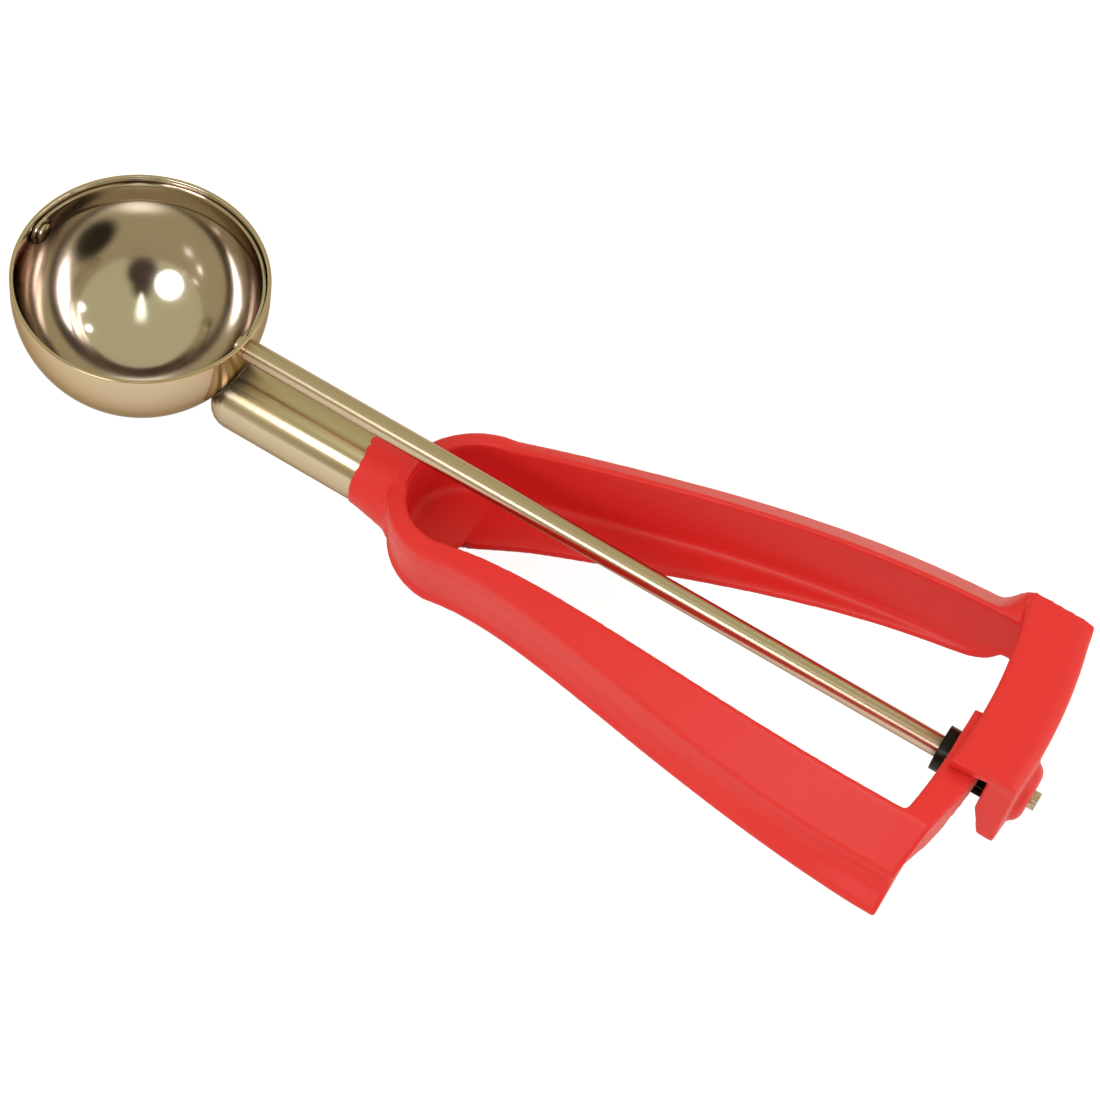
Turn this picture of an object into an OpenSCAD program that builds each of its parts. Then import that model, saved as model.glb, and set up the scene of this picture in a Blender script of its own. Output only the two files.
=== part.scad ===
// Lever ice cream scoop: a steel bowl with a scraper blade that a squeezed handle turns.
// Origin: centre of the bowl, on the spindle axis. +X runs along the spindle towards the handle,
// +Y towards the arm that carries the cover, +Z up out of the bowl's mouth.

/* [Bowl] */
// Outer radius of the bowl
bowl_r = 26; // [24:0.5:28]
// Thickness of the bowl's drawn sheet
bowl_wall = 0.8; // [0.6:0.1:1.2]
// Height of the straight wall above the spindle axis
rim_height = 4; // [3:0.1:6]

/* [Scraper blade] */
// Width of the blade's strip
blade_w = 5.5; // [4:0.1:6]
// Thickness of the blade's sheet
blade_t = 0.6; // [0.4:0.05:0.9]
// Radius of the round eyes at the blade's two ends
eye_r = 2.9; // [2.8:0.1:3.4]
// Turn of the blade over a full squeeze, in degrees
blade_turn = 170; // [120:1:175]

/* [Spindle] */
// Diameter of the spindle rod
rod_d = 4.5; // [4:0.1:5]
// Diameter of the spindle's reduced tip, which holds the blade's eye
tip_d = 3.2; // [2.8:0.1:3.4]
// Thickness of the riveted heads inside the bowl
head_t = 0.6; // [0.5:0.1:1]
// Diameter of the spindle's rear journal and its splined end
spline_d = 3.7; // [3:0.1:4]
// Length of the splined end that stands out of the bearing
spline_out = 1.4; // [1:0.1:3]
// Number of splines on the spindle's rear end
spline_count = 14; // [10:1:18]

/* [Pivot rivet] */
// Diameter of the rivet that the blade's far eye turns on
rivet_d = 3; // [2.4:0.1:3.4]
// Diameter of the rivet's outer head
rivet_head_d = 5.6; // [5:0.1:7]
// Height of the rivet's outer head
rivet_head_h = 0.6; // [0.4:0.1:1.2]

/* [Pinion] */
// Number of teeth on the pinion
pinion_teeth = 10; // [9:1:12]
// Pitch radius of the pinion
pitch_r = 4; // [3.9:0.1:4.2]
// Radius of the pinion's front flange
flange_r = 4.65; // [4.5:0.05:4.75]
// Thickness of the pinion's front flange
flange_t = 2.4; // [1.8:0.1:3]

/* [Socket tube] */
// Diameter of the tube that joins the bowl to the handle
tube_d = 15; // [13:0.5:16]
// Wall of the tube
tube_wall = 0.9; // [0.7:0.1:1.5]
// Height of the spindle axis above the tube axis
tube_drop = 16.5; // [15.5:0.1:17]
// Corner radius of the tube's domed nose
nose_r = 5; // [3:0.5:6]

/* [Handle] */
// Distance from the bowl's centre to the front edge of the handle's collar
collar_x = 56; // [50:0.5:70]
// Length of the collar, from its front edge to the front of the round root
collar_len = 6.5; // [5:0.5:12]
// Thickness of the moulded film at the collar's front edge
collar_film = 0.25; // [0.2:0.05:0.6]
// Thickness of the moulding round the tube where it meets the root
collar_wall = 1.7; // [1:0.1:2.5]
// Inside radius of the round pocket between the two arms' roots
pocket_r = 13; // [11:0.5:15]
// Length of the arms, from the pocket's centre to the front of the cover
arm_len = 104.5; // [90:0.5:120]
// Height of the arms, from ridge to underside
arm_h = 19.5; // [18:0.5:22]
// Drop of the arms' ridge below the spindle axis, at the root
root_drop = 5; // [3:0.5:6]
// Drop of the pocket's rim from the arms' root to its front
rim_fall = 3; // [1:0.5:4]
// Distance from the spindle axis to an arm's inner wall, at the rear
grip_half = 23.7; // [20:0.1:28]
// Width of an arm's upper slope at the root
slope_root_w = 4; // [3:0.1:5]
// Width of an arm's upper slope at the rear
slope_rear_w = 9.3; // [7:0.1:10]
// Fall of the upper slope at the root
slope_root_fall = 1.5; // [0.5:0.1:3]
// Fall of the upper slope at the rear
slope_rear_fall = 8.6; // [6:0.1:10]
// Height of the plain side below the upper slope
side_h = 3.7; // [2:0.1:5]
// Reach of the lower lip beyond the inner wall, at the rear
lip_rear_w = 11.9; // [10:0.1:13]
// Extra reach of that lip at the arms' rear end
lip_flare = 1.2; // [0:0.1:1.5]
// Setback of the root's underside from the width of its rim
root_tuck = 0.9; // [0:0.1:1.5]
// Radius of the rolled edge of the lower lip
lip_r = 1.6; // [1:0.1:2]
// Length over which the far arm flares up to the cover's corner
flare_len = 6; // [4:0.5:20]
// Rise of the inner wall's lower edge towards the rear, above the lip
edge_rise = 6.7; // [0:0.1:7]
// Thickness of the foot that runs inward along the arms' underside
foot_t = 2.8; // [2:0.1:4]
// Reach of the foot inward of the inner wall, near the cover
foot_reach = 1.2; // [0.6:0.1:2]
// Half-width of the notch between the two feet, at its front end
notch_half = 1.2; // [1:0.1:2]
// Shift of that notch from the spindle's plane towards the near arm
notch_shift = 0.8; // [0:0.1:0.9]
// Further shift of the notch at its front end, which dies out along the arms
notch_lean = 1.7; // [0:0.1:1.9]

/* [Rack and cover] */
// Width of the rack bar along the spindle
rack_w = 7; // [6.5:0.1:8.8]
// Thickness of the rack bar above its teeth
rack_h = 9.8; // [8:0.1:11]
// Distance from the arms' end to the front of the rack bar
rack_back = 1.8; // [1.2:0.1:2.5]
// Sideways shift of the centre of the rack bar's front curve, towards the near arm
bow_side = 7; // [0:0.5:10]
// Shift of that centre towards the bowl, which flattens the curve
bow_back = 2; // [0:0.5:4]
// Reach of the rack bar's free end past the spindle axis
rack_past = 2.2; // [1.6:0.1:3]
// Gap between the rack bar and the cover's roof
roof_gap = 0.4; // [0.3:0.05:0.8]
// Thickness of the cover's roof
roof_t = 2.5; // [2:0.1:3.5]
// Distance from the rack bar's front to the cover's front edge
cover_back = 1.6; // [1:0.1:2.5]
// Distance from the cover's front edge back to its rear face
cover_depth = 13.3; // [12.5:0.1:15]
// Distance that the cover's open end stands past the spindle axis
cover_near = 10.6; // [9:0.1:11]
// Extra length of the cover's open end at its front edge
cover_skew = 1.5; // [0:0.1:1.8]
// Distance from the spindle axis to the closed end of the cover's top
cover_far = 29.8; // [28.5:0.1:31]
// Thickness of the cover's rear wall at the roof
rear_wall_top = 5.8; // [3.5:0.1:6.2]
// Height of the bend where the rear wall starts to thin, above the spindle axis
rear_wall_bend = 4; // [0:0.5:8]
// Thickness of the cover's rear wall at its lower edge
rear_wall_low = 2; // [1.8:0.1:3.8]
// Radius of the rear wall's lower end, round the bearing
rear_wall_r = 7.8; // [7.4:0.1:9]
// Depth of the rear wall's open end below the spindle axis
tongue_drop = 5; // [3:0.1:6]
// Rounding of the lower corner of that open end
tongue_r = 2.5; // [1:0.1:3]
// Rounding of the cover's top rear edge
cover_round = 2.6; // [1:0.1:3]
// Base radius of the bearing dome on the rear wall
dome_r = 6.1; // [5:0.1:7.2]
// Height of the bearing dome
dome_h = 1.9; // [1.5:0.1:4]
// Height of the dome's centre above the spindle axis
dome_lift = 0.9; // [0:0.1:1.2]

/* [Fits] */
// Radial clearance of the spindle and the rivet in their holes
run_gap = 0.05; // [0.02:0.01:0.1]
// Gap between moving pieces that don't bear on each other
free_gap = 0.3; // [0.25:0.01:0.4]
// Backlash between the rack and the pinion
backlash = 0.3; // [0.2:0.05:0.4]

/* [Hidden] */

steel = "#c4b193";
bright_steel = "#d3c3a6";
red = "#e2473f";
black = "#262422";
eps = 0.01;
fine = 96;
smooth = 360;
far = 400;

// Bowl, blade and their two pivots
bowl_in = bowl_r - bowl_wall;
blade_out = bowl_in - free_gap;
blade_in = blade_out - blade_t;
eye_out = sqrt(pow(blade_out, 2) - pow(eye_r, 2)) - run_gap;
eye_in = eye_out - blade_t;
rod_r = rod_d / 2;
tip_r = tip_d / 2;
spline_r = spline_d / 2;
rivet_r = rivet_d / 2;
head_margin = 0.8;
head_r = eye_r - head_margin;

// Root of the handle: a round pocket, at whose centre the near arm flexes
root_x = collar_x + collar_len + pocket_r + slope_root_w;
root_low = -root_drop - arm_h;
tube_r = tube_d / 2;
root_out = pocket_r + slope_root_w;
tube_shy = 0.2;
tube_end = root_x - root_out - tube_shy;
root_steps = 20;

// Arms: a station is a place along an arm, from 0 at the root to 1 at the cover
arm_end = root_x + arm_len;
tail_len = rack_back + 2.9;
tail_bend = 3.5;
arm_steps = 30;
flare_steps = 6;
edge_r = 0.8;
crease_r = 1.8;
foot_min = 0.3;
ridge_start = 0.008;
lean_len = 0.14;
slit_tip = 0.15;
slit_curl = 7;
dome_flat = 1.6;

// Rack and cover, as rings about the flexing point
rack_in = arm_len + rack_back;
rack_out = rack_in + rack_w;
rack_mid = (rack_in + rack_out) / 2;
cover_in = rack_in + cover_back;
cover_out = cover_in + cover_depth;
rear_x = root_x + cover_out;

// Tooth form: short rack teeth, so that a pinion of few teeth needs no undercut
pressure_angle = 20;
tooth_pitch = 2 * PI * pitch_r / pinion_teeth;
module_size = tooth_pitch / PI;
rack_tip = pitch_r - 0.55 * module_size;
rack_root = pitch_r + 1.12 * module_size;
pinion_tip = pitch_r + 0.87 * module_size;
pinion_root = pitch_r - 0.95 * module_size;
tooth_angle = 360 / (2 * PI) * tooth_pitch / rack_mid;
squeeze = blade_turn * pitch_r / rack_mid;
rack_teeth = ceil(squeeze / tooth_angle) + 2;

// The pinion reaches from a little in front of the rack bar to the cover's rear wall
gear_over = 0.3;
gear_x = root_x + rack_in - gear_over;
gear_end = root_x + cover_out - rear_wall_top - free_gap;
flange_x = gear_x - flange_t;

rack_top = rack_root + rack_h;
ridge_top = rack_top;
roof_low = rack_top + roof_gap;
roof_top = roof_low + roof_t;
tail_low = ridge_top - arm_h;

function mix(a, b, t) = a + (b - a) * t;
function ease(t) = (1 - cos(180 * t)) / 2;
function arc(c, r, from, to, n, across = undef) =
    [for (i = [0:n])
        let (a = mix(from, to, i / n), rx = is_undef(across) ? r : across)
        [c.x + rx * cos(a), c.y + r * sin(a)]];

// The ridge climbs and spreads fast at first, then runs out level and straight
function early(t) = t * pow((1 + ridge_start) / (t * t + ridge_start), 0.125);
function ridge_y(t) = mix(pocket_r, grip_half, ease(pow(t, 0.8)));
function ridge_z(t) = mix(-root_drop, ridge_top, 0.8 * sin(90 * early(t)) + 0.2 * t);
function widen(t) = pow(sin(90 * t), 1.4);
// Share of an arm's last stretch, and a second one for its very end
function late(t) = pow(max(0, t - 0.6) / 0.4, 2);
function last(t) = pow(late(t), 8);
function rise(t) = edge_rise * mix(late(t), last(t), 0.67);
function lean(t) = notch_lean * pow(max(0, 1 - t / lean_len), 1.3);
function foot_y(t, side) =
    mix(notch_half - side * notch_shift, grip_half - foot_reach, sin(90 * pow(t, 1.35))) - side * lean(t);

// Cross-section of an arm: x runs outward from the inner wall, y up from the underside.
// A full flare lifts the upper slope's outer edge to the corner of the cover's top.
function section(t, h, reach, flare = 0) =
    let (w = widen(t),
         plain_z = h - mix(slope_root_fall, slope_rear_fall, w),
         slope_w = mix(mix(slope_root_w, slope_rear_w, w), cover_far - grip_half, flare),
         slope_z = mix(plain_z, h + roof_gap + roof_t - edge_r / 2, flare),
         groove_z = plain_z - side_h,
         lip_w = mix(slope_root_w - root_tuck, lip_rear_w, w) + lip_flare * late(t) - lip_r,
         up = rise(t),
         foot_r = min(foot_t / 2, 0.4 * reach),
         thick = foot_t * (1 - 0.3 * t),
         fillet = min(crease_r, 0.5 * reach))
    concat(
        [[0, h - edge_r]],
        [[0.3 * edge_r, h - 0.25 * edge_r]],
        [[edge_r, h - 0.1 * edge_r]],
        [[slope_w - edge_r, slope_z + edge_r * mix(0.85, 0.3, flare)]],
        [[slope_w - 0.2 * edge_r, slope_z + edge_r * 0.1]],
        [[slope_w, slope_z - edge_r]],
        [[mix(slope_w - 0.1, slope_rear_w, 0.6 * flare), groove_z + 1]],
        [[mix(slope_w - 0.1, slope_rear_w, flare), groove_z]],
        [[mix(mix(slope_w, slope_rear_w, flare), lip_w, 0.3), mix(groove_z, 2 * lip_r, 0.45)]],
        arc([lip_w, lip_r], lip_r, 50, -90, 7),
        [[0, up]],
        arc([foot_r - reach, up + thick / 2], thick / 2, 270, 90, 4, foot_r),
        [for (a = [270:30:360])
            [fillet * (cos(a) - 1), up + thick + crease_r + crease_r * sin(a)]]);

// Skin through a row of closed rings of points, closed at each end by a fan about a hub
module loft(rings, front_hub, rear_hub) {
    n = len(rings[0]);
    last = (len(rings) - 1) * n;
    polyhedron(
        points = concat([for (ring = rings, p = ring) p], [front_hub, rear_hub]),
        faces = concat(
            [for (i = [0:n - 1]) [(i + 1) % n, i, last + n]],
            [for (k = [0:len(rings) - 2], i = [0:n - 1])
                let (a = k * n, j = (i + 1) % n)
                each [[a + i, a + j, a + n + j], [a + i, a + n + j, a + n + i]]],
            [for (i = [0:n - 1]) [last + i, last + (i + 1) % n, last + n + 1]]));
}

// A station's ring on the +Y side; side is 1 for the far arm, -1 for the near one
function arm_ring(x, side) =
    let (t = min(1, (x - root_x) / arm_len),
         y = ridge_y(t),
         z = ridge_z(t) - arm_h,
         flare = side > 0 ? ease(min(1, max(0, 1 - (arm_end - x) / flare_len))) : 0,
         reach = mix(y - foot_y(t, side), foot_min, last(t)))
    [for (p = section(t, arm_h, reach, flare)) [x, y + p.x, z + p.y]];

// The near arm's last stretch: its upper half runs on to the rack bar's rear edge
function tail_x(y, z) =
    let (high = root_x + sqrt(pow(rack_out, 2) - pow(y, 2)),
         low = arm_end + tail_len)
    mix(low, max(low, high), ease(min(1, max(0, (z - rack_root + tail_bend) / tail_bend))));
function tail_ring(part) =
    [for (p = arm_ring(arm_end, -1)) [mix(arm_end, tail_x(p.y, p.z), part), p.y, p.z]];

function root_hub(x, side) = [x, side * (pocket_r + edge_r), root_low + foot_t / 2];
function arm_hub(tail) = [arm_end + tail, grip_half + slope_rear_w / 2, tail_low + arm_h / 2.5];

// One arm on the +Y side, from a distance from the origin back to the arms' end
function arm_rings(from, side) =
    let (bend = arm_end - flare_len)
    concat([for (i = [0:arm_steps]) arm_ring(mix(from, bend, i / arm_steps), side)],
           [for (i = [1:flare_steps]) arm_ring(mix(bend, arm_end, i / flare_steps), side)]);

// Outline of the far arm's rear end as a flat shape, with x across and y up
module arm_end_outline() {
    translate([grip_half, tail_low])
        polygon(section(1, arm_h, foot_min, 1));
}

// Block of a ring about the flexing point, with its section's corners given as [radius, height]
module ring_block(outline) {
    translate([root_x, 0, 0])
        rotate([0, 0, -60])
            rotate_extrude(angle = 120, $fn = smooth)
                polygon(outline);
}

// A flat outline, with x across and y up, pushed along the spindle from one place to another
module along_x(from, to) {
    translate([from, 0, 0])
        rotate([90, 0, 90])
            linear_extrude(height = to - from)
                children();
}

// A solid of revolution about a line along +X
module turned_x(profile) {
    rotate([0, 90, 0])
        rotate_extrude($fn = fine)
            polygon(profile);
}

module round_bar(from, to, r) {
    translate([from, 0, 0])
        rotate([0, 90, 0])
            cylinder(h = to - from, r = r, $fn = 48);
}

module bowl() {
    color(steel)
        difference() {
            union() {
                sphere(r = bowl_r, $fn = fine);
                cylinder(h = rim_height, r = bowl_r, $fn = fine);
            }
            sphere(r = bowl_in, $fn = fine);
            cylinder(h = rim_height + 1, r = bowl_in, $fn = fine);
            translate([0, 0, rim_height])
                cylinder(h = bowl_r, r = bowl_r + 1, $fn = fine);
            round_bar(0, bowl_r + 1, rod_r + run_gap);
            round_bar(-bowl_r - 1, 0, rivet_r);
        }
}

// Domed head outside the bowl, shank through its wall, flat head inside
module pivot_rivet() {
    outer = -bowl_r - rivet_head_h;
    inner = -eye_in + run_gap;
    color(bright_steel)
        difference() {
            union() {
                turned_x(concat(
                    [[0, -sqrt(pow(bowl_r, 2) - pow(rivet_head_d / 2, 2))]],
                    [for (a = [0:10:90])
                        [rivet_head_d / 2 * cos(a), mix(-bowl_r - 0.2, outer, sin(a))]]));
                round_bar(outer + rivet_head_h / 2, inner + head_t, rivet_r);
                round_bar(inner, inner + head_t, head_r);
            }
            difference() {
                sphere(r = bowl_r, $fn = fine);
                sphere(r = bowl_in, $fn = fine);
                round_bar(-bowl_r - 1, 0, rivet_r);
            }
        }
}

// Half hoop, at rest along the far side just under the rim
module scraper_blade() {
    color(bright_steel)
        difference() {
            union() {
                intersection() {
                    difference() {
                        sphere(r = blade_out, $fn = fine);
                        sphere(r = blade_in, $fn = fine);
                    }
                    translate([-eye_out, 0, -blade_w / 2])
                        cube([2 * eye_out, bowl_r, blade_w]);
                }
                round_bar(eye_in, eye_out, eye_r);
                round_bar(-eye_out, -eye_in, eye_r);
            }
            round_bar(0, bowl_r, tip_r);
            round_bar(-bowl_r, 0, rivet_r + run_gap);
        }
}

module spindle_rod() {
    spline_x = rear_x + dome_h;
    color(bright_steel)
        difference() {
            union() {
                round_bar(eye_out, gear_end, rod_r);
                round_bar(gear_end - eps, spline_x + spline_out, spline_r);
                round_bar(eye_in - head_t, eye_out + eps, tip_r);
                round_bar(eye_in - head_t, eye_in, head_r);
            }
            for (i = [0:spline_count - 1])
                rotate([i * 360 / spline_count, 0, 0])
                    translate([0, 0, spline_r + 0.1])
                        round_bar(spline_x + 0.2, spline_x + spline_out + 1, spline_r * 0.14);
        }
}

// Involute flank: from the root circle out to the tip, by the angle unrolled from the base circle
function roll(r, base) = r < base ? 0 : sqrt(pow(r / base, 2) - 1) * 180 / PI - acos(base / r);
function flank(side) =
    let (base = pitch_r * cos(pressure_angle),
         thinning = 0.4 * backlash / pitch_r * 180 / PI,
         half = 90 / pinion_teeth - thinning + roll(pitch_r, base))
    [for (i = [0:5])
        let (r = mix(pinion_root, pinion_tip, i / 5), a = side * (half - roll(r, base)))
        [r * cos(a), r * sin(a)]];

// Flange in front, teeth behind; a tooth points up at rest
module pinion() {
    upper = flank(1);
    lower = flank(-1);
    tooth = concat([[0, 0]], lower, [for (i = [0:5]) upper[5 - i]]);
    color(black)
        difference() {
            union() {
                round_bar(flange_x, gear_x + eps, flange_r);
                round_bar(gear_x, gear_end, pinion_root + 0.2);
                along_x(gear_x, gear_end)
                    for (i = [0:pinion_teeth - 1])
                        rotate(90 + i * 360 / pinion_teeth)
                            polygon(tooth);
            }
            round_bar(flange_x - 1, gear_end + 1, rod_r);
        }
}

// The tube's nose touches the bowl at the height of the tube's own axis and is saddled to it above
module socket_tube() {
    front = sqrt(pow(bowl_r, 2) - pow(tube_drop, 2));
    outer = concat(
        [[0, front]],
        [for (a = [90:-15:0]) [tube_r - nose_r + nose_r * cos(a), front + nose_r - nose_r * sin(a)]],
        [[tube_r, tube_end]]);
    inner_r = nose_r - tube_wall;
    inner = concat(
        [[tube_r - tube_wall, tube_end]],
        [for (a = [0:15:90])
            [tube_r - nose_r + inner_r * cos(a), front + nose_r - inner_r * sin(a)]],
        [[0, front + tube_wall]]);
    color(steel)
        difference() {
            translate([0, 0, -tube_drop])
                turned_x(concat(outer, inner));
            sphere(r = bowl_r, $fn = fine);
        }
}

// The pocket's floor leaves a narrow slit, which curls from the notch to the flexing point
function slit(a) = mix(slit_tip, foot_y(0, -1), pow((a - 90) / 180, slit_curl));
function root_ring(a) =
    let (h = arm_h - rim_fall * sin(a - 90))
    [for (p = section(0, h, pocket_r - slit(a)))
        [root_x + (pocket_r + p.x) * cos(a), (pocket_r + p.x) * sin(a), root_low + p.y]];

// Round pocket with a floor; its end faces are the arms' first sections
module handle_root() {
    color(red)
        loft([for (i = [0:root_steps]) root_ring(270 - 180 * i / root_steps)],
             root_hub(root_x, -1), root_hub(root_x, 1));
}

// Over-moulded collar that swallows the tube's end and runs into the round root
module handle_collar() {
    color(red)
        difference() {
            translate([0, 0, -tube_drop])
                turned_x([[tube_r, collar_x],
                          [tube_r + collar_film, collar_x],
                          [tube_r + collar_film + 0.1, collar_x + 0.6 * collar_len],
                          [tube_r + collar_wall * 0.55, collar_x + 0.9 * collar_len],
                          [tube_r + collar_wall, collar_x + 1.4 * collar_len],
                          [tube_r + collar_wall, root_x],
                          [tube_r, root_x]]);
            translate([root_x, 0, root_low - bowl_r])
                cylinder(h = 2 * bowl_r + arm_h, r = root_out, $fn = smooth);
        }
}

module far_arm() {
    color(red)
        loft(arm_rings(root_x, 1), root_hub(root_x, 1), arm_hub(0));
}

// Open below and towards the spindle's front; the rack bar runs under its roof
module rack_cover() {
    inner = cover_out - rear_wall_top;
    lower = cover_out - rear_wall_low;
    color(red)
        difference() {
            union() {
                intersection() {
                    ring_block(concat(
                        [[cover_in, roof_low], [inner, roof_low], [inner, rear_wall_bend],
                         [lower, -rear_wall_r], [cover_out, -rear_wall_r]],
                        arc([cover_out - cover_round, roof_top - cover_round], cover_round, 0, 90, 6),
                        [[cover_in, roof_top]]));
                    along_x(root_x, rear_x + 1)
                        union() {
                            translate([-cover_near - cover_skew, roof_low])
                                square([cover_near + cover_skew + cover_far, roof_t + 1]);
                            translate([-cover_near, tongue_r - tongue_drop])
                                square([cover_near + cover_far, roof_top + tongue_drop]);
                            translate([tongue_r - cover_near, tongue_r - tongue_drop])
                                circle(r = tongue_r, $fn = 48);
                            translate([tongue_r - cover_near, -tongue_drop])
                                square([cover_near - tongue_r, tongue_drop]);
                            circle(r = rear_wall_r, $fn = 48);
                            translate([0, tail_low])
                                square([cover_far, -tail_low]);
                        }
                    translate([0, 0, -far / 2])
                        linear_extrude(height = far)
                            polygon([[root_x, -cover_near - cover_skew * (1 + cover_in / cover_depth)],
                                     [rear_x + cover_depth, cover_skew - cover_near],
                                     [rear_x + cover_depth, far], [arm_end, far],
                                     [arm_end, grip_half], [root_x, grip_half]]);
                }
                intersection() {
                    ring_block([[0, tail_low - 1], [cover_out, tail_low - 1],
                                [cover_out, roof_top], [0, roof_top]]);
                    along_x(arm_end, rear_x + 1)
                        arm_end_outline();
                }
            }
            round_bar(root_x + inner - 2, rear_x + 1, spline_r + run_gap);
        }
}

// Domed boss behind the rear wall, bored for the spindle
module bearing_dome() {
    shape = [for (a = [0:7.5:90]) [mix(spline_r + dome_flat, dome_r, cos(a)), rear_x + dome_h * sin(a)]];
    color(red)
        difference() {
            translate([0, 0, dome_lift])
                turned_x(concat([[0, rear_x - 1], [dome_r, rear_x - 1]], shape, [[0, rear_x + dome_h]]));
            ring_block([[0, -far], [cover_out, -far], [cover_out, far], [0, far]]);
            round_bar(rear_x - 2, rear_x + dome_h + 1, spline_r + run_gap);
        }
}

// The near arm mirrors the far one, and ends in a corner that the rack bar springs from
module near_arm() {
    color(red)
        mirror([0, 1, 0])
            loft(concat(arm_rings(root_x + free_gap, -1), [for (i = [1:4]) tail_ring(i / 4)]),
                 root_hub(root_x + free_gap, 1),
                 arm_hub(tail_len));
}

// One gap between two rack teeth, with straight flanks, at the place where it meets the pinion
module rack_gap() {
    lean = tan(pressure_angle);
    half = tooth_pitch / 4 + backlash / 2;
    top = half - (rack_root - pitch_r) * lean;
    low = half + (pitch_r - rack_tip) * lean + eps;
    along_x(root_x + rack_in - 2, root_x + rack_out + 2)
        polygon([[-low, rack_tip - eps], [-top, rack_root], [top, rack_root], [low, rack_tip - eps]]);
}

// Flat bar with teeth below, curved about the flexing point
module rack_bar() {
    end_angle = asin(rack_past / rack_mid);
    color(red)
        difference() {
            intersection() {
                translate([root_x, 0, 0])
                    rotate([0, 0, -20])
                        rotate_extrude(angle = 20 + end_angle, $fn = smooth)
                            polygon([[rack_in, rack_tip], [rack_out, rack_tip],
                                     [rack_out, rack_top], [rack_in, rack_top]]);
                translate([root_x, -grip_half, rack_tip - 1])
                    cube([rack_out + 1, grip_half + 10, rack_h + 5]);
            }
            translate([root_x - bow_back, -bow_side, 0])
                cylinder(h = rack_top + 1, r = rack_in + bow_back, $fn = smooth);
            for (i = [-1:rack_teeth - 1])
                translate([root_x, 0, 0])
                    rotate([0, 0, -i * tooth_angle])
                        translate([-root_x, 0, 0])
                            rack_gap();
        }
}

bowl();
pivot_rivet();
scraper_blade();
spindle_rod();
pinion();
socket_tube();
handle_collar();
handle_root();
far_arm();
rack_cover();
bearing_dome();
near_arm();
rack_bar();
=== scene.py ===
# Lever ice cream scoop, dressed: polished steel bowl, tube and spindle, red moulded handle, black pinion.
import math

import bmesh
import bpy
from mathutils import Matrix, Vector, noise


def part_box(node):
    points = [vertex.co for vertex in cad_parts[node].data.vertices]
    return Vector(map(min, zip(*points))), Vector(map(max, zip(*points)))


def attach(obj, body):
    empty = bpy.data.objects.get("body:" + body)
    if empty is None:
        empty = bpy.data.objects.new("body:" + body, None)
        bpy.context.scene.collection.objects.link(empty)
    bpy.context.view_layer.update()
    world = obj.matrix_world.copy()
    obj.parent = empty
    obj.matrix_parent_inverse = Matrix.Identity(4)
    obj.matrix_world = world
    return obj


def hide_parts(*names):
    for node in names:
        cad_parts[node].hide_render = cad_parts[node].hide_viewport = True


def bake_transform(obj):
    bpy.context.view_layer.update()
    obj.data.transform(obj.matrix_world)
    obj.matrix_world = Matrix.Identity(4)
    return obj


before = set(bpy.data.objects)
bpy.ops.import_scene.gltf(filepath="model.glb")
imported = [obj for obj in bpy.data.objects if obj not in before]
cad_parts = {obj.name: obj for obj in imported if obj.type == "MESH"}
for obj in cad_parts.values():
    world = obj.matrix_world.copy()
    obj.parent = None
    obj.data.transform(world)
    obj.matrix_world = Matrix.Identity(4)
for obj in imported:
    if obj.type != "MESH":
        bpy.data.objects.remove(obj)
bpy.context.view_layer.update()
MM = 0.001

# ---- Sizes that the scene takes from the frame --------------------------------------------------
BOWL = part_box("bowl")
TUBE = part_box("socket_tube")
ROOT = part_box("handle_root")
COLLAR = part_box("handle_collar")
bowl_r = BOWL[1][0]
rim_z = BOWL[1][2]
tube_r = (TUBE[1][1] - TUBE[0][1]) / 2
tube_z = TUBE[0][2] + tube_r
seam_x = ROOT[1][0]  # where the near arm leaves the root
collar_x = COLLAR[0][0]

# ---- Sizes that no box in the frame gives -------------------------------------------------------
bowl_wall = 0.8 * MM
rim_round = 0.22 * MM
rod_r = 2.25 * MM
run_gap = 0.05 * MM  # round the rod, in the bowl's wall
rivet_r = 1.5 * MM
tube_nose_r = 5 * MM
weld_r = 0.45 * MM
weld_stand = 0.1 * MM  # how far the bead's middle stands off the tube
weld_low = 1.3 * MM  # the bead ends this far above the tube's axis
blade_growth = 1.006  # the finished blade runs this much nearer to the bowl's wall


# ---- Small tools --------------------------------------------------------------------------------
def linear(hex_colour):
    """sRGB hex to the linear colour that a shader takes."""
    parts = [int(hex_colour[i:i + 2], 16) / 255 for i in (1, 3, 5)]
    return [c / 12.92 if c <= 0.04045 else ((c + 0.055) / 1.055) ** 2.4 for c in parts] + [1.0]


def only(piece):
    """Selects this object alone and makes it the active one."""
    bpy.ops.object.select_all(action="DESELECT")
    piece.select_set(True)
    bpy.context.view_layer.objects.active = piece


def duplicate(piece):
    """A second object with a mesh of its own."""
    twin = piece.copy()
    twin.data = piece.data.copy()
    bpy.context.collection.objects.link(twin)
    return twin


def copy_of(node, name):
    """A merged copy of a CAD node's mesh, for finishing."""
    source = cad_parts[node]
    piece = bpy.data.objects.new(name, source.data.copy())
    bpy.context.collection.objects.link(piece)
    piece.data.materials.clear()
    only(piece)
    bpy.ops.object.mode_set(mode="EDIT")
    bpy.ops.mesh.select_all(action="SELECT")
    bpy.ops.mesh.remove_doubles(threshold=0.002 * MM)
    bpy.ops.object.mode_set(mode="OBJECT")
    return piece


def modify(piece, kind, **settings):
    """Adds a modifier, sets it and applies it."""
    only(piece)
    modifier = piece.modifiers.new(kind.title(), kind)
    for key, value in settings.items():
        setattr(modifier, key, value)
    bpy.ops.object.modifier_apply(modifier=modifier.name)


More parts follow.
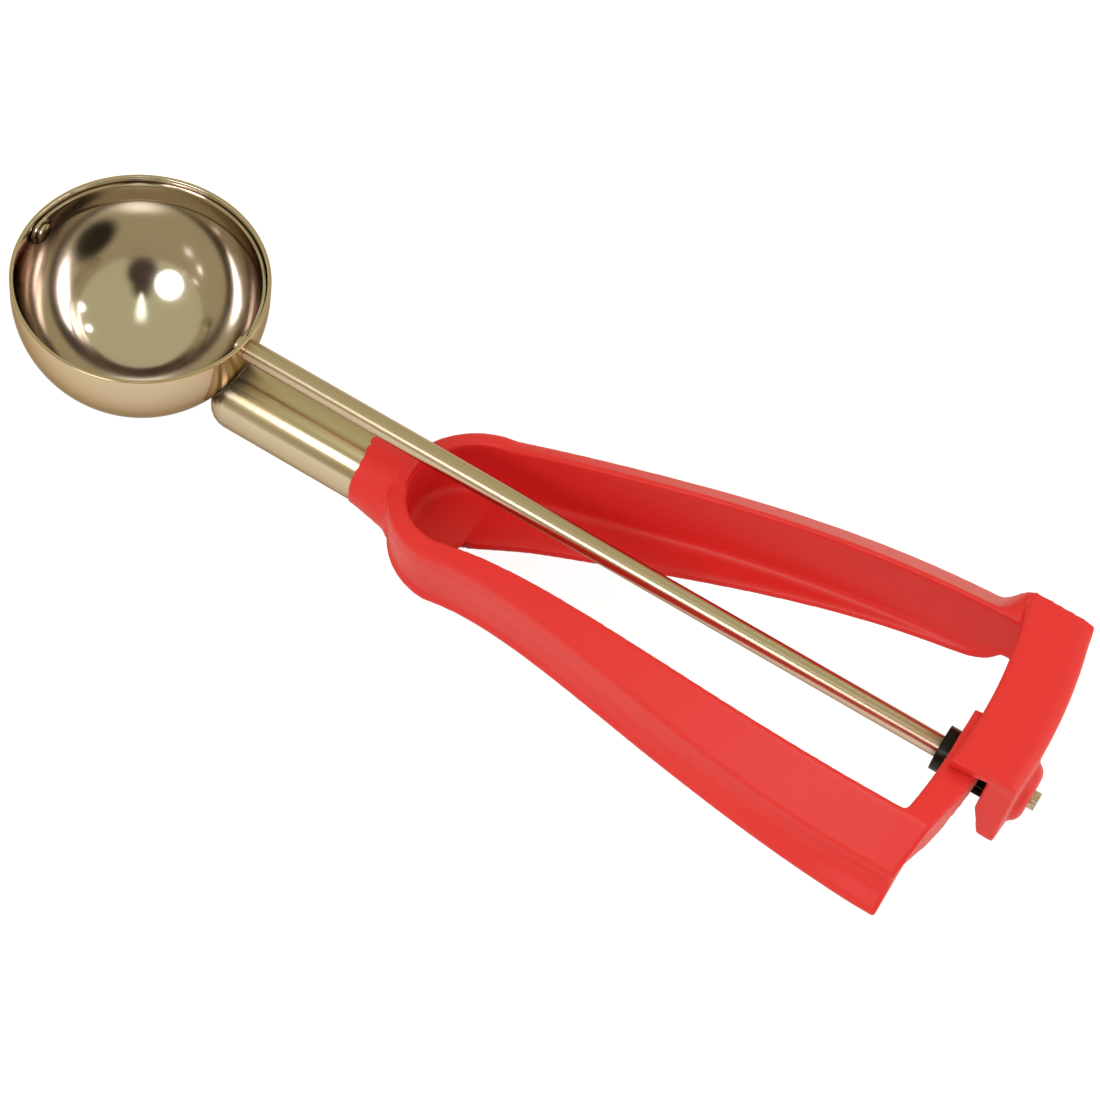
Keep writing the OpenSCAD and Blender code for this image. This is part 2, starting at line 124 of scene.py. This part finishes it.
def boolean(piece, tool, operation):
    """Joins or cuts with a second object, which is used up."""
    modify(piece, "BOOLEAN", operation=operation, object=tool, solver="EXACT")
    bpy.data.objects.remove(tool)


def shade_like(piece, whole):
    """Takes the shading of the same piece before it was cut, so that the cut shows no crease."""
    modify(piece, "DATA_TRANSFER", object=whole, use_loop_data=True, data_types_loops={"CUSTOM_NORMAL"},
           loop_mapping="POLYINTERP_NEAREST")
    bpy.data.objects.remove(whole)


def settle(piece):
    """Puts the place of a primitive in its mesh, so that its object sits at the origin."""
    only(piece)
    bpy.ops.object.transform_apply(location=True, rotation=True, scale=True)
    return piece


def rod_between(name, x0, x1, radius, z=0.0, sides=64):
    """A cylinder along X, as a start for turned parts."""
    bpy.ops.object.select_all(action="DESELECT")
    bpy.ops.mesh.primitive_cylinder_add(
        vertices=sides, radius=radius, depth=x1 - x0, location=((x0 + x1) / 2, 0, z),
        rotation=(0, math.pi / 2, 0))
    piece = bpy.context.object
    piece.name = name
    return settle(piece)


def bisect(piece, point, normal, **settings):
    """Cuts new edges into the piece along a plane."""
    only(piece)
    bpy.ops.object.mode_set(mode="EDIT")
    bpy.ops.mesh.select_all(action="SELECT")
    bpy.ops.mesh.bisect(plane_co=point, plane_no=normal, **settings)
    bpy.ops.object.mode_set(mode="OBJECT")


def cut_off(piece, point, normal, fill=True):
    """Cuts the piece by a plane and keeps the side that the normal points away from."""
    bisect(piece, point, normal, use_fill=fill, clear_outer=True, clear_inner=False)


def slice_across(piece, x):
    """Adds a ring of edges where the piece crosses the plane at x."""
    bisect(piece, (x, 0, 0), (1, 0, 0), use_fill=False)


def ring_noise(angle, lumps, seed):
    """Noise that closes round a ring; more lumps make it busier."""
    return noise.noise(Vector((lumps * math.cos(angle), lumps * math.sin(angle), seed)))


def give(piece, material, slot, body, *nodes):
    """Material, body and the CAD nodes that the piece stands for; the record slot is not used."""
    piece.data.materials.clear()
    piece.data.materials.append(material)
    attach(piece, body)
    if nodes:
        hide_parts(*nodes)


# ---- Shader tools -------------------------------------------------------------------------------
def new_material(name):
    material = bpy.data.materials.new(name)
    material.use_nodes = True
    return material, material.node_tree, material.node_tree.nodes["Principled BSDF"]


def add(tree, kind, links=(), **settings):
    """Adds a node with its settings, and links its inputs: (input name or index, output socket)."""
    node = tree.nodes.new(kind)
    for key, value in settings.items():
        if key in node.inputs:
            node.inputs[key].default_value = value
        else:
            setattr(node, key, value)
    for name, socket in links:
        tree.links.new(socket, node.inputs[name])
    return node


def calculate(tree, operation, *sockets):
    """One step of arithmetic on sockets."""
    return add(tree, "ShaderNodeMath", enumerate(sockets), operation=operation).outputs[0]


def ramp(tree, value, low, high, start=0.0, end=1.0, shape="LINEAR"):
    """Goes from start to end as the value goes from low to high."""
    step = add(tree, "ShaderNodeMapRange", [("Value", value)], interpolation_type=shape)
    for name, number in (("From Min", low), ("From Max", high), ("To Min", start), ("To Max", end)):
        step.inputs[name].default_value = number
    return step.outputs["Result"]


def colour_between(tree, factor, first, second):
    """A mix of two colours, each a value or a socket: the first at 0, the second at 1."""
    mix = add(tree, "ShaderNodeMix", [("Factor", factor)], data_type="RGBA")
    for name, colour in (("A", first), ("B", second)):
        if isinstance(colour, bpy.types.NodeSocket):
            tree.links.new(colour, mix.inputs[name])
        else:
            mix.inputs[name].default_value = colour
    return mix.outputs["Result"]


def distance_to(tree, place, point):
    """How far a place is from a fixed point."""
    gap = add(tree, "ShaderNodeVectorMath", [(0, place)], operation="DISTANCE")
    gap.inputs[1].default_value = point
    return gap.outputs["Value"]


def object_place(tree):
    """The place on the object, in metres."""
    return add(tree, "ShaderNodeTexCoord").outputs["Object"]


def spots(tree, place, size_mm, detail):
    """Noise whose spots are about this size."""
    scale = 1 / (size_mm * MM)
    return add(tree, "ShaderNodeTexNoise", [("Vector", place)], Scale=scale, Detail=detail).outputs["Fac"]


def relief(tree, shader, height, strength, depth_mm, *under):
    """A bump from a height, on top of another one if there is one; returns its normal."""
    links = [("Height", height)] + [("Normal", normal) for normal in under]
    bump = add(tree, "ShaderNodeBump", links, Strength=strength, Distance=depth_mm * MM)
    tree.links.new(bump.outputs["Normal"], shader.inputs["Normal"])
    return bump.outputs["Normal"]


# ---- Materials ----------------------------------------------------------------------------------
EDGE_TINT = "#bcac98"  # a buffed steel stays warm where it is seen at a flat angle
# The outside's warmer, darker tone is a painted reflection of the warm surroundings that it mirrors.
BOWL_OUTSIDE_PAINTED_REFLECTION = "#dac4aa"
BOWL_INSIDE = "#e0d5cf"
# Dark patch on the bowl round the tube: a painted reflection of the shaded floor under the tube, partly heat
# tint.
WELD_TINT_AND_PAINTED_REFLECTION = "#3f3b3a"


def new_steel(name, colour):
    """Bare steel with a warm tint at flat angles."""
    material, tree, shader = new_material(name)
    shader.inputs["Metallic"].default_value = 1.0
    shader.inputs["Base Color"].default_value = linear(colour)
    shader.inputs["Specular Tint"].default_value = linear(EDGE_TINT)
    return material, tree, shader


def polished_stainless(name, colour, roughness, grit_mm, depth_mm):
    """Deep-drawn and buffed stainless steel: mirror-like, with faint haze and fine buffing marks."""
    material, tree, shader = new_steel(name, colour)
    place = object_place(tree)
    haze = ramp(tree, spots(tree, place, 9, 3.0), 0.3, 0.7, roughness * 0.8, roughness * 1.25)
    tree.links.new(haze, shader.inputs["Roughness"])
    relief(tree, shader, spots(tree, place, grit_mm, 2.0), 0.25, depth_mm)
    return material


def bowl_steel():
    """The bowl's steel: mirror-buffed and paler inside; warmer outside, a painted reflection of warm
    surroundings, and a painted dark patch round the tube that reflects the shaded floor, partly the weld's
    heat tint."""
    material = polished_stainless("polished stainless bowl", BOWL_OUTSIDE_PAINTED_REFLECTION, 0.11, 0.5, 0.002)
    tree = material.node_tree
    place = object_place(tree)
    out = ramp(tree, distance_to(tree, place, (0, 0, 0)), bowl_r - 0.45 * MM, bowl_r - 0.1 * MM)
    # Paler inside, warmer outside: the outside's tone is a painted reflection.
    unpatched = colour_between(tree, out, linear(BOWL_INSIDE), linear(BOWL_OUTSIDE_PAINTED_REFLECTION))
    # A painted dark patch round the tube, standing in for a shadowed reflection, partly the weld's heat
    # tint.
    from_weld = distance_to(tree, place, (bowl_r, 0, tube_z))
    off_dark_patch = ramp(tree, from_weld, tube_r + 2 * MM, 2 * tube_r, shape="SMOOTHSTEP")
    colour = colour_between(tree, off_dark_patch, linear(WELD_TINT_AND_PAINTED_REFLECTION), unpatched)
    tree.links.new(colour, tree.nodes["Principled BSDF"].inputs["Base Color"])
    return material


def ground_steel(name, colour, roughness, ring_mm):
    """Stainless steel ground and buffed on a lathe: fine rings run round it, which draw each
    reflection out along the axis."""
    material, tree, shader = new_steel(name, colour)
    shader.inputs["Roughness"].default_value = roughness
    shader.inputs["Anisotropic"].default_value = 0.9
    shader.inputs["Anisotropic Rotation"].default_value = 0.25
    round_it = add(tree, "ShaderNodeTangent", direction_type="RADIAL", axis="X")
    tree.links.new(round_it.outputs["Tangent"], shader.inputs["Tangent"])
    rings = add(tree, "ShaderNodeMapping", [("Vector", object_place(tree))], Scale=(1.0, 0.06, 0.06))
    relief(tree, shader, spots(tree, rings.outputs["Vector"], ring_mm, 3.0), 0.3, 0.003)
    return material


def red_abs():
    """Injection-moulded ABS: satin red with a fine mould texture and faint flow marks."""
    material, tree, shader = new_material("red moulded ABS")
    shader.inputs["IOR"].default_value = 1.53
    shader.inputs["Roughness"].default_value = 0.4
    shader.inputs["Specular IOR Level"].default_value = 0.3
    place = object_place(tree)
    colour = colour_between(tree, spots(tree, place, 14, 2.0), linear("#dd2a2b"), linear("#e02e2e"))
    tree.links.new(colour, shader.inputs["Base Color"])
    fine = relief(tree, shader, spots(tree, place, 0.35, 2.0), 0.35, 0.02)
    relief(tree, shader, spots(tree, place, 3.5, 1.0), 0.3, 0.05, fine)
    return material


def black_acetal():
    """Moulded acetal gear: near-black, slightly greasy sheen."""
    material, tree, shader = new_material("black moulded acetal")
    shader.inputs["Base Color"].default_value = linear("#100d0b")
    shader.inputs["IOR"].default_value = 1.48
    shader.inputs["Specular IOR Level"].default_value = 0.25
    shader.inputs["Roughness"].default_value = 0.33
    relief(tree, shader, spots(tree, object_place(tree), 0.3, 2.0), 0.3, 0.02)
    return material


BOWL_STEEL = bowl_steel()
TUBE_STEEL = ground_steel("buffed stainless tube", "#dccbb2", 0.28, 0.6)
BLADE_STEEL = polished_stainless("spring stainless blade", "#d8ccbe", 0.14, 0.4, 0.004)
WELD_STEEL = polished_stainless("heat-tinted weld bead", "#6d6052", 0.3, 0.5, 0.02)
ROD_STEEL = ground_steel("ground stainless rod", "#dccab6", 0.32, 0.5)
RED = red_abs()
BLACK = black_acetal()


# ---- Steel pieces -------------------------------------------------------------------------------
def make_bowl():
    """Half a sphere with a short straight wall, thickened inwards, its rim rounded, with two pivot holes."""
    bpy.ops.object.select_all(action="DESELECT")
    bpy.ops.mesh.primitive_uv_sphere_add(segments=160, ring_count=80, radius=bowl_r)
    bowl = bpy.context.object
    bowl.name = "bowl_shell"
    cut_off(bowl, (0, 0, 0), (0, 0, 1), fill=False)
    bpy.ops.object.mode_set(mode="EDIT")
    bpy.ops.mesh.select_all(action="DESELECT")
    bpy.ops.mesh.select_non_manifold()
    bpy.ops.mesh.extrude_region_move(TRANSFORM_OT_translate={"value": (0, 0, rim_z)})
    bpy.ops.mesh.select_all(action="SELECT")
    bpy.ops.mesh.normals_make_consistent(inside=False)
    bpy.ops.object.mode_set(mode="OBJECT")
    modify(bowl, "SOLIDIFY", thickness=bowl_wall, offset=-1.0, use_even_offset=True)
    modify(bowl, "BEVEL", width=rim_round, segments=3, limit_method="ANGLE", angle_limit=math.radians(50))
    bpy.ops.object.shade_smooth()
    whole = duplicate(bowl)
    inner, outer = bowl_r * 0.8, bowl_r * 1.1
    boolean(bowl, rod_between("rod_hole", inner, outer, rod_r + run_gap), "DIFFERENCE")
    boolean(bowl, rod_between("rivet_hole", -outer, -inner, rivet_r), "DIFFERENCE")
    shade_like(bowl, whole)
    return bowl


def finished_copy(node, name, round_mm):
    """A CAD node with its sharp edges rounded and smooth shading between them."""
    piece = copy_of(node, name)
    modify(piece, "DECIMATE", decimate_type="DISSOLVE", angle_limit=math.radians(0.5))
    modify(piece, "BEVEL", width=round_mm * MM, segments=2, limit_method="ANGLE",
           angle_limit=math.radians(35))
    only(piece)
    bpy.ops.object.shade_smooth_by_angle(angle=math.radians(30))
    return piece


def make_blade():
    """The spring strip that sweeps the bowl, opened out until it runs close to the wall."""
    blade = finished_copy("scraper_blade", "scraper_blade_strip", 0.08)
    for v in blade.data.vertices:
        v.co *= blade_growth
    return blade


def nose_meets_bowl(angle):
    """Where the tube's domed nose meets the bowl at an angle round the tube: x, and how far off its axis."""
    front = math.sqrt(bowl_r ** 2 - tube_z ** 2)
    low, high = 0.0, math.pi / 2
    for _ in range(30):
        turn = (low + high) / 2
        r = tube_r - tube_nose_r + tube_nose_r * math.cos(turn)
        x = front + tube_nose_r - tube_nose_r * math.sin(turn)
        if math.hypot(x, r * math.cos(angle), tube_z + r * math.sin(angle)) > bowl_r:
            low = turn
        else:
            high = turn
    return x, r


def make_weld():
    """The bead along the saddle where the tube's domed nose meets the bowl; it fades out below."""
    ring_r = tube_r + weld_stand
    bpy.ops.object.select_all(action="DESELECT")
    bpy.ops.mesh.primitive_torus_add(
        major_segments=160, minor_segments=16, major_radius=ring_r, minor_radius=weld_r,
        location=(0, 0, tube_z), rotation=(0, math.pi / 2, 0))
    bead = settle(bpy.context.object)
    bead.name = "weld_bead"
    cut_off(bead, (0, 0, tube_z + weld_low), (0, 0, -1))
    for v in bead.data.vertices:
        angle = math.atan2(v.co.z - tube_z, v.co.y)
        x, r = nose_meets_bowl(angle)
        fade = min(1.0, 0.3 + 2.0 * (math.sin(angle) - 0.12))
        size = fade * (1 + 0.3 * ring_noise(angle, 5, 1.3))
        r += (math.hypot(v.co.y, v.co.z - tube_z) - ring_r) * size
        v.co = (x + v.co.x * size, r * math.cos(angle), tube_z + r * math.sin(angle))
    only(bead)
    bpy.ops.object.shade_smooth_by_angle(angle=math.radians(50))
    return bead


# ---- The red moulding ---------------------------------------------------------------------------
voxel = 0.445 * MM  # grid of the melted skin, as fine as the limit on triangles allows
soften_passes = 6
arm_start = seam_x + 0.5 * MM  # past the near arm's end face, which lies just off the root
seam_overlap = 0.2 * MM  # how far that face is pulled into the root before they are joined
stub_length = 14 * MM  # how much of the near arm the fixed side is melted with
stub_room = 4 * MM  # past the stub's end, for picking its faces
stub_side = -0.4 * MM  # the near arm lies on this side of the middle
split_x = seam_x + 0.15 * MM

film_length = 6.6 * MM
film_wall = 0.3 * MM
collar_wall = 1.6 * MM
collar_fillet = 4 * MM
bell_start = collar_x + 4.5 * MM
flare_start = collar_x + 7.09 * MM
bell_end = collar_x + 10.2 * MM
bell_rings = 16
bell_sunk = 0.03 * MM  # the bell lies this far under the film's skin
bell_clear = 0.1 * MM  # and this far above the collar's lowest point


def melt(piece):
    """Runs joined solids into one skin and softens its edges, as a mould's rounded corners do.
    The solid is turned askew to the grid meanwhile, so that no straight edge comes out stepped."""
    askew = Matrix.Rotation(math.radians(37), 4, Vector((1, 0.6, 0.8)).normalized())
    piece.data.transform(askew)
    modify(piece, "REMESH", mode="VOXEL", voxel_size=voxel, adaptivity=0.0)
    modify(piece, "SMOOTH", factor=0.5, iterations=soften_passes)
    piece.data.transform(askew.inverted())
    only(piece)
    bpy.ops.object.shade_smooth()


def joined(name, nodes):
    """Copies of CAD nodes, made one solid."""
    piece = copy_of(nodes[0], name)
    for node in nodes[1:]:
        boolean(piece, copy_of(node, node + "_part"), "UNION")
    return piece


def near_arm_copy(name):
    """The near arm, with its end face pulled over the seam into the root."""
    arm = copy_of("near_arm", name)
    for v in arm.data.vertices:
        if v.co.x < arm_start:
            v.co.x = seam_x - seam_overlap
    return arm


def collar_r(x):
    """Outer radius of the collar: a film that thickens slowly, then a fillet that flares into the root."""
    if x > flare_start:
        return tube_r + collar_wall + collar_fillet - math.sqrt(collar_fillet ** 2 - (x - flare_start) ** 2)
    share = max(0.0, x - collar_x) / (flare_start - collar_x)
    return tube_r + film_wall + (collar_wall - film_wall) * share ** 1.3


def collar_bell():
    """The thick part of the collar, turned about the tube's axis, and cut flat along its lowest line."""
    bell = rod_between("collar_bell", bell_start, bell_end, tube_r, z=tube_z, sides=96)
    for step in range(1, bell_rings):
        slice_across(bell, bell_start + (bell_end - bell_start) * step / bell_rings)
    for v in bell.data.vertices:
        wider = (collar_r(v.co.x) - bell_sunk) / tube_r
        v.co.y *= wider
        v.co.z = tube_z + (v.co.z - tube_z) * wider
    cut_off(bell, (0, 0, COLLAR[0][2] + bell_clear), (0, 0, -1))
    return bell


def make_handle():
    """The fixed and the moving side. Each is melted with a piece of the other, so that both skins agree
    near the seam."""
    near_stub = near_arm_copy("near_stub")
    cut_off(near_stub, (seam_x + stub_length, 0, 0), (1, 0, 0))
    fixed = joined("handle_moulding", ["handle_root", "far_arm", "rack_cover", "bearing_dome"])
    boolean(fixed, collar_bell(), "UNION")
    boolean(fixed, near_stub, "UNION")
    melt(fixed)

    moving = near_arm_copy("near_arm_moulding")
    boolean(moving, copy_of("rack_bar", "bar_part"), "UNION")
    boolean(moving, copy_of("handle_root", "root_stub"), "UNION")
    melt(moving)
    return fixed, moving


def split_at_seam(piece, keep_rear):
    """Keeps the piece's own side of the seam and closes the cut."""
    whole = duplicate(piece)
    only(piece)
    bpy.ops.object.mode_set(mode="EDIT")
    mesh = bmesh.from_edit_mesh(piece.data)
    bpy.ops.mesh.select_all(action="DESELECT")
    for face in mesh.faces:
        centre = face.calc_center_median()
        on_stub = centre.y < stub_side and centre.x < seam_x + stub_length + stub_room
        face.select = keep_rear or on_stub
    bmesh.update_edit_mesh(piece.data)
    bpy.ops.mesh.bisect(plane_co=(split_x, 0, 0), plane_no=(1, 0, 0), use_fill=False,
                        clear_inner=keep_rear, clear_outer=not keep_rear)
    bpy.ops.mesh.select_all(action="DESELECT")
    bpy.ops.mesh.select_non_manifold(extend=False, use_wire=False, use_boundary=True,
                                     use_multi_face=False, use_non_contiguous=False, use_verts=False)
    bpy.ops.mesh.edge_face_add()
    bpy.ops.object.mode_set(mode="OBJECT")
    shade_like(piece, whole)


def make_collar_film():
    """Thin flash of plastic that crept along the tube: torn on top, nearly even below."""
    bpy.ops.object.select_all(action="DESELECT")
    bpy.ops.mesh.primitive_cylinder_add(
        vertices=240, radius=tube_r, depth=film_length, end_fill_type="NOTHING",
        location=(collar_x + film_length / 2, 0, tube_z), rotation=(0, math.pi / 2, 0))
    film = settle(bpy.context.object)
    film.name = "collar_film"
    for share in (0.08, 0.18, 0.3, 0.42, 0.54, 0.66, 0.76, 0.88):
        slice_across(film, collar_x + share * film_length)
    for v in film.data.vertices:
        share = (v.co.x - collar_x) / film_length
        angle = math.atan2(v.co.z - tube_z, v.co.y)
        on_top = max(0.0, math.sin(angle)) ** 1.5
        wander = 0.5 * ring_noise(angle, 1.6, 8.1)
        tear = on_top * (1.1 * ring_noise(angle, 5, 3.7) - 1.0)
        buried = max(0.0, (v.co.x - bell_start) / (collar_x + film_length - bell_start))
        lumps = 0.12 * ring_noise(angle, 3, 300 * v.co.x) * on_top * (1 - buried) * share
        wider = (collar_r(v.co.x) + (0.03 - 0.16 * buried + lumps) * MM) / tube_r
        v.co.x += (1 - share) ** 2 * (wander + tear) * MM
        v.co.y *= wider
        v.co.z = tube_z + (v.co.z - tube_z) * wider
    modify(film, "SOLIDIFY", thickness=0.26 * MM, offset=-1.0)
    modify(film, "BEVEL", width=0.08 * MM, segments=2, limit_method="ANGLE", angle_limit=math.radians(50))
    only(film)
    bpy.ops.object.shade_smooth_by_angle(angle=math.radians(50))
    return film


# ---- The pieces ---------------------------------------------------------------------------------
give(make_bowl(), BOWL_STEEL, "bowl_steel", "scoop", "bowl")
tube = finished_copy("socket_tube", "socket_tube_body", 0.15)
give(tube, TUBE_STEEL, "bowl_steel", "scoop", "socket_tube")
give(make_weld(), WELD_STEEL, "bowl_steel", "scoop")
rivet = finished_copy("pivot_rivet", "pivot_rivet_body", 0.15)
give(rivet, BLADE_STEEL, "bright_steel", "scoop", "pivot_rivet")
give(make_blade(), BLADE_STEEL, "bright_steel", "spindle", "scraper_blade")
rod = finished_copy("spindle_rod", "spindle_rod_body", 0.1)
give(rod, ROD_STEEL, "bright_steel", "spindle", "spindle_rod")
gear = finished_copy("pinion", "pinion_gear", 0.12)
give(gear, BLACK, "black_plastic", "spindle", "pinion")

fixed_side, moving_side = make_handle()
split_at_seam(fixed_side, keep_rear=False)
split_at_seam(moving_side, keep_rear=True)
give(fixed_side, RED, "red_plastic", "scoop", "handle_root", "far_arm", "rack_cover", "bearing_dome")
give(make_collar_film(), RED, "red_plastic", "scoop", "handle_collar")
moving_side.data.materials.append(RED)
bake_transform(moving_side)
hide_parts("near_arm", "rack_bar")


# ---- Floor, light and camera --------------------------------------------------------------------
ROOM_LOW = "#b5a78d"
ROOM_HIGH = "#bfbb92"
FAN_LIGHT = (1.9, 2.0, 1.7, 1.0)
LAMP_REACH = 1.1  # metres from the bowl to each lamp
BOUNCES = 16  # below about 8, the light between the bowl, blade and rim is lost

# Each lamp: name, azimuth, elevation, width and height in degrees (0 for a round one), radiance, and
# whether the steel mirrors it
LAMPS = (
    ("round_softbox", -92.5, 42.5, 25.6, 0, 5.5, True),
    ("small_lamp_right", 30, 34, 7, 0, 3.0, True),
    ("small_lamp_back", 50, 42.5, 6, 0, 4.0, True),
    ("low_lamp_right", 15, 15, 28, 9, 3.5, True),
    ("ceiling", 0, 89, 110, 110, 0.37, False),
    ("rear_fill", 5, 14, 40, 24, 1.3, False),
    ("side_fill", 60, 28, 50, 40, 0.45, False),
    ("front_fill", -110, 16, 60, 40, 0.42, False),
)


def make_floor():
    """White paper: white to the camera, with a faint shadow, and a duller white in the steel."""
    bpy.ops.object.select_all(action="DESELECT")
    bpy.ops.mesh.primitive_plane_add(size=40, location=(0.1, 0, BOWL[0][2] - 0.05 * MM))
    floor = settle(bpy.context.object)
    floor.name = "floor"
    material, tree, shader = new_material("white paper floor")
    shader.inputs["Base Color"].default_value = linear("#f2f1ee")
    shader.inputs["Roughness"].default_value = 0.9
    ray = add(tree, "ShaderNodeLightPath").outputs
    mirrored = calculate(tree, "MAXIMUM", ray["Is Glossy Ray"], ray["Is Transmission Ray"])
    seen = calculate(tree, "MAXIMUM", ray["Is Camera Ray"], mirrored)
    level = ramp(tree, ray["Is Camera Ray"], 0.0, 1.0, 0.3, 0.92)
    shade_colour = colour_between(tree, ray["Is Camera Ray"], linear("#c8c6c0"), linear("#838383"))
    glow = add(tree, "ShaderNodeEmission", [("Strength", level)])
    shade = add(tree, "ShaderNodeBsdfDiffuse", [("Color", shade_colour)])
    paper = add(tree, "ShaderNodeAddShader", [(0, glow.outputs[0]), (1, shade.outputs[0])])
    either = add(tree, "ShaderNodeMixShader", [(0, seen), (1, shader.outputs[0]), (2, paper.outputs[0])])
    tree.links.new(either.outputs[0], tree.nodes["Material Output"].inputs["Surface"])
    floor.data.materials.append(material)


def toward(azimuth, elevation):
    """Unit vector for an azimuth from +X towards +Y and a height above the floor, in degrees."""
    turn, tilt = math.radians(azimuth), math.radians(elevation)
    return Vector((math.cos(turn) * math.cos(tilt), math.sin(turn) * math.cos(tilt), math.sin(tilt)))


def fan(tree, sight):
    """A soft fan of light over the camera: narrow low down, wide towards the ceiling."""
    def along(azimuth, elevation):
        """How far the line of sight points in a direction."""
        part = add(tree, "ShaderNodeVectorMath", [(0, sight)], operation="DOT_PRODUCT")
        part.inputs[1].default_value = toward(azimuth, elevation)
        return part.outputs["Value"]

    across = calculate(tree, "ABSOLUTE", along(34, 0))
    half_width = ramp(tree, along(0, 90), 0.8, 0.99, 0.02, 0.13, shape="SMOOTHSTEP")
    inside = ramp(tree, calculate(tree, "DIVIDE", across, half_width), 1.0, 0.2, shape="SMOOTHSTEP")
    high = ramp(tree, along(0, 90), 0.82, 0.88, shape="SMOOTHSTEP")
    near_camera = ramp(tree, along(-56, 0), 0.0, 0.25, shape="SMOOTHSTEP")
    return calculate(tree, "MULTIPLY", calculate(tree, "MULTIPLY", inside, high), near_camera)


def make_world():
    """A plain room with tan walls, three dark shapes round the camera, and a fan of light above it."""
    world = bpy.data.worlds.new("studio")
    bpy.context.scene.world = world
    world.use_nodes = True
    tree = world.node_tree
    way = add(tree, "ShaderNodeTexCoord").outputs["Generated"]
    sight = add(tree, "ShaderNodeVectorMath", [(0, way)], operation="NORMALIZE").outputs["Vector"]
    parts = add(tree, "ShaderNodeSeparateXYZ", [("Vector", way)])
    walls = add(tree, "ShaderNodeValToRGB", [("Fac", parts.outputs["Z"])])
    for element, position, colour in zip(walls.color_ramp.elements, (0.0, 0.5), (ROOM_LOW, ROOM_HIGH)):
        element.position = position
        element.color = linear(colour)
    view = walls.outputs["Color"]
    low_figure = (toward(-57, 8), 0.22, 0.48, "#6e6252")
    camera_hood = (toward(-56, 54), 0.06, 0.24, "#5a5238")
    dark_screen = (toward(-57, 39), 0.17, 0.33, "#4a3c34")
    for middle, edge_start, edge_end, colour in (low_figure, camera_hood, dark_screen):
        edge = ramp(tree, distance_to(tree, sight, middle), edge_start, edge_end, shape="SMOOTHSTEP")
        view = colour_between(tree, edge, linear(colour), view)
    view = colour_between(tree, fan(tree, sight), view, FAN_LIGHT)
    room = tree.nodes["Background"]
    tree.links.new(view, room.inputs["Color"])
    room.inputs["Strength"].default_value = 1.0


def make_lamp(name, azimuth, elevation, width, height, radiance, mirrored):
    """A soft lamp seen from the bowl at that angle."""
    data = bpy.data.lights.new(name, "AREA")
    data.size = 2 * LAMP_REACH * math.tan(math.radians(width / 2))
    if height:
        data.shape = "RECTANGLE"
        data.size_y = 2 * LAMP_REACH * math.tan(math.radians(height / 2))
        area = data.size * data.size_y
    else:
        data.shape = "DISK"
        area = math.pi * data.size ** 2 / 4
    data.energy = radiance * math.pi * area
    light = bpy.data.objects.new(name, data)
    light.location = toward(azimuth, elevation) * LAMP_REACH
    light.rotation_euler = toward(azimuth, elevation).to_track_quat("Z", "Y").to_euler()
    light.visible_glossy = mirrored
    bpy.context.collection.objects.link(light)


# The camera: its angles, distance and focal length, aimed at a point beside the spindle
AZIMUTH = math.radians(20.234)
ELEVATION = math.radians(57.363)
ROLL = math.radians(12.668)
DISTANCE = 577 * MM
TARGET = Vector((100.28, -7.24, 3.17)) * MM
FOCAL_PX = 3000
FRAME_PX = 1100
SENSOR_MM = 36.0


def make_camera():
    back = Vector((math.sin(AZIMUTH) * math.cos(ELEVATION), -math.cos(AZIMUTH) * math.cos(ELEVATION),
                   math.sin(ELEVATION)))
    level = Vector((math.cos(AZIMUTH), math.sin(AZIMUTH), 0))
    rise = back.cross(level)
    right = math.cos(ROLL) * level + math.sin(ROLL) * rise
    up = math.cos(ROLL) * rise - math.sin(ROLL) * level
    data = bpy.data.cameras.new("camera")
    data.sensor_width = SENSOR_MM
    data.lens = SENSOR_MM * FOCAL_PX / FRAME_PX
    data.clip_start = 0.01
    camera = bpy.data.objects.new("camera", data)
    turned = Matrix((right, up, back)).transposed().to_4x4()
    camera.matrix_world = Matrix.Translation(TARGET + back * DISTANCE) @ turned
    bpy.context.collection.objects.link(camera)
    bpy.context.scene.camera = camera


make_floor()
make_world()
make_camera()
for values in LAMPS:
    make_lamp(*values)
bpy.context.scene.cycles.max_bounces = BOUNCES
bpy.context.scene.cycles.glossy_bounces = BOUNCES

bpy.context.scene.view_settings.view_transform = "Standard"
